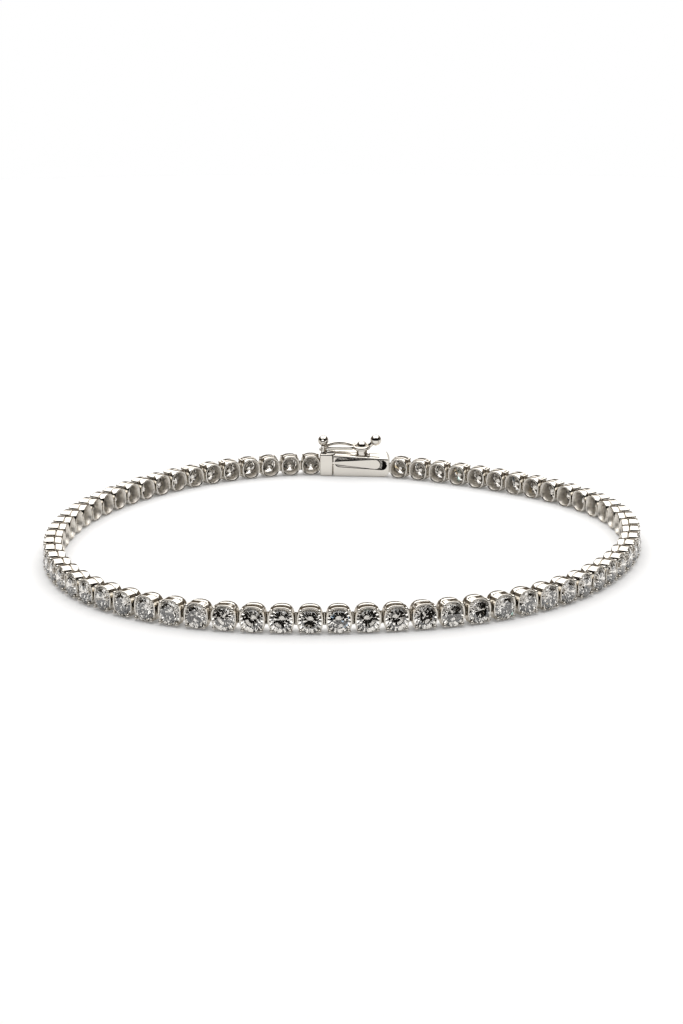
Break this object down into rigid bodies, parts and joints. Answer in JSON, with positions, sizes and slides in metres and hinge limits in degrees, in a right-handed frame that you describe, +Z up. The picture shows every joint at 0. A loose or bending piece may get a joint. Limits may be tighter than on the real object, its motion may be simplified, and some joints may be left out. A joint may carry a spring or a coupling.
{
  "type": "tennis bracelet",
  "caption": "Flexible line bracelet of small round stones in four-prong settings, closed by a box clasp with a hinged safety latch.",
  "frame": {"origin": "under the middle of the whole bracelet, on the surface it lies on", "axes": "+Z up through the wrist opening, clasp at +Y, +X to the right seen from the side opposite the clasp"},
  "size_m": [0.0586, 0.057, 0.0047],
  "materials": {
    "stone_row": "clear brilliants in polished white metal",
    "white_gold": "polished"
  },
  "bodies": {
    "bracelet": {"chain": "stone_row", "clasp_box": "white_gold", "clasp_tongue": "white_gold"},
    "latch": {"safety_latch": "white_gold"}
  },
  "joints": [
    {"name": "latch_hinge", "type": "hinge", "parent": "bracelet", "child": "latch", "pos_m": [-0.00235, 0.02722, 0.00395], "axis": [-0.0872, -0.9962, 0], "range_deg": [0, 125]}
  ]
}
